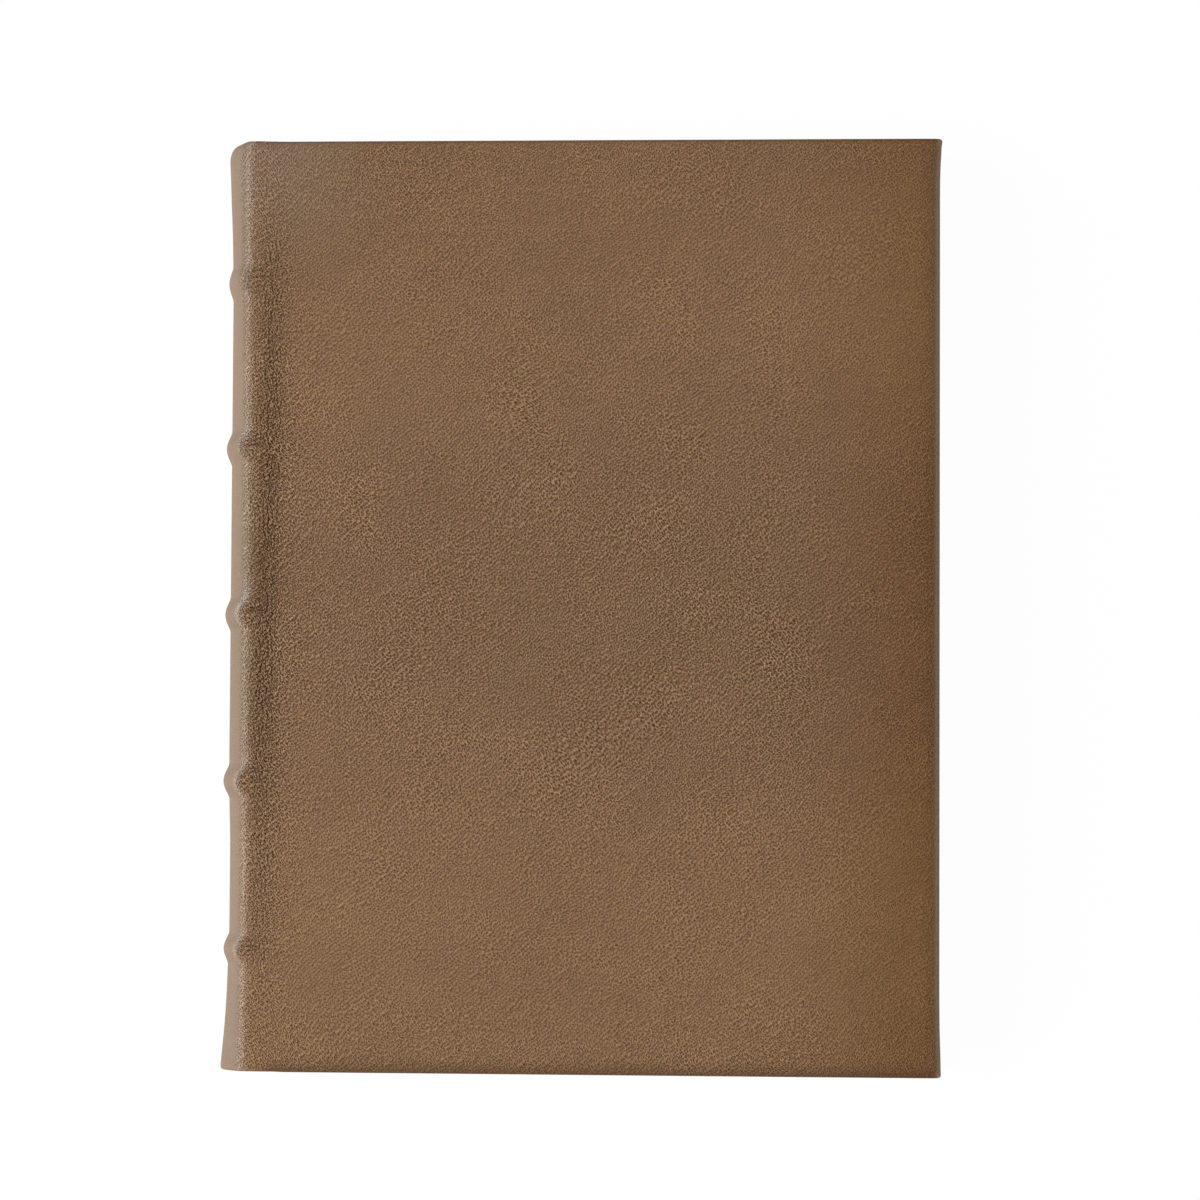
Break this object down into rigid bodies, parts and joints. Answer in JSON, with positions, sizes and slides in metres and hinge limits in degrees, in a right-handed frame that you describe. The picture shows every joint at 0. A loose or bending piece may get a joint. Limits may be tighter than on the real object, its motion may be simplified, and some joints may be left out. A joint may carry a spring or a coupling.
{
  "type": "hardcover journal",
  "caption": "Hardcover journal bound in taupe-brown pebbled leather, with a rounded spine crossed by raised bands and two covers that open.",
  "frame": {"origin": "middle of the bounding box, on the surface that the closed book lies on", "axes": "+X from the spine to the fore-edge, +Y from tail to head, +Z from the back cover up to the front cover"},
  "size_m": [0.182, 0.235, 0.025],
  "materials": {
    "cover_leather": "fine pebbled grain, satin, taupe brown",
    "pasteboard": "grey-brown pressed board, matt",
    "endpaper": "plain cream paper, matt",
    "page_paper": "cream page edges, cut, matt",
    "spine_cloth": "open cotton weave, sized",
    "lining_paper": "brown kraft paper, matt",
    "band_strip": "plain strip, hidden under the cover leather",
    "endband_thread": "striped cotton over a cord core"
  },
  "bodies": {
    "book_block": {"text_block": "page_paper", "front_flyleaf": "endpaper", "back_flyleaf": "endpaper", "mull": "spine_cloth", "spine_lining": "lining_paper", "band_1": "band_strip", "band_2": "band_strip", "band_3": "band_strip", "band_4": "band_strip", "band_5": "band_strip", "head_endband": "endband_thread", "tail_endband": "endband_thread", "spine_leather": "cover_leather", "front_joint_leather": "cover_leather", "back_joint_leather": "cover_leather"},
    "front_cover": {"front_board": "pasteboard", "front_infill": "pasteboard", "front_pastedown": "endpaper", "front_cover_leather": "cover_leather"},
    "back_cover": {"back_board": "pasteboard", "back_infill": "pasteboard", "back_pastedown": "endpaper", "back_cover_leather": "cover_leather"}
  },
  "joints": [
    {"name": "front_cover_hinge", "type": "hinge", "parent": "book_block", "child": "front_cover", "pos_m": [-0.08303, 0, 0.02315], "axis": [0, -1, 0], "range_deg": [0, 178], "deforming": ["front_joint_leather"]},
    {"name": "back_cover_hinge", "type": "hinge", "parent": "book_block", "child": "back_cover", "pos_m": [-0.08303, 0, 0.00185], "axis": [0, 1, 0], "range_deg": [0, 178], "deforming": ["back_joint_leather"]}
  ]
}
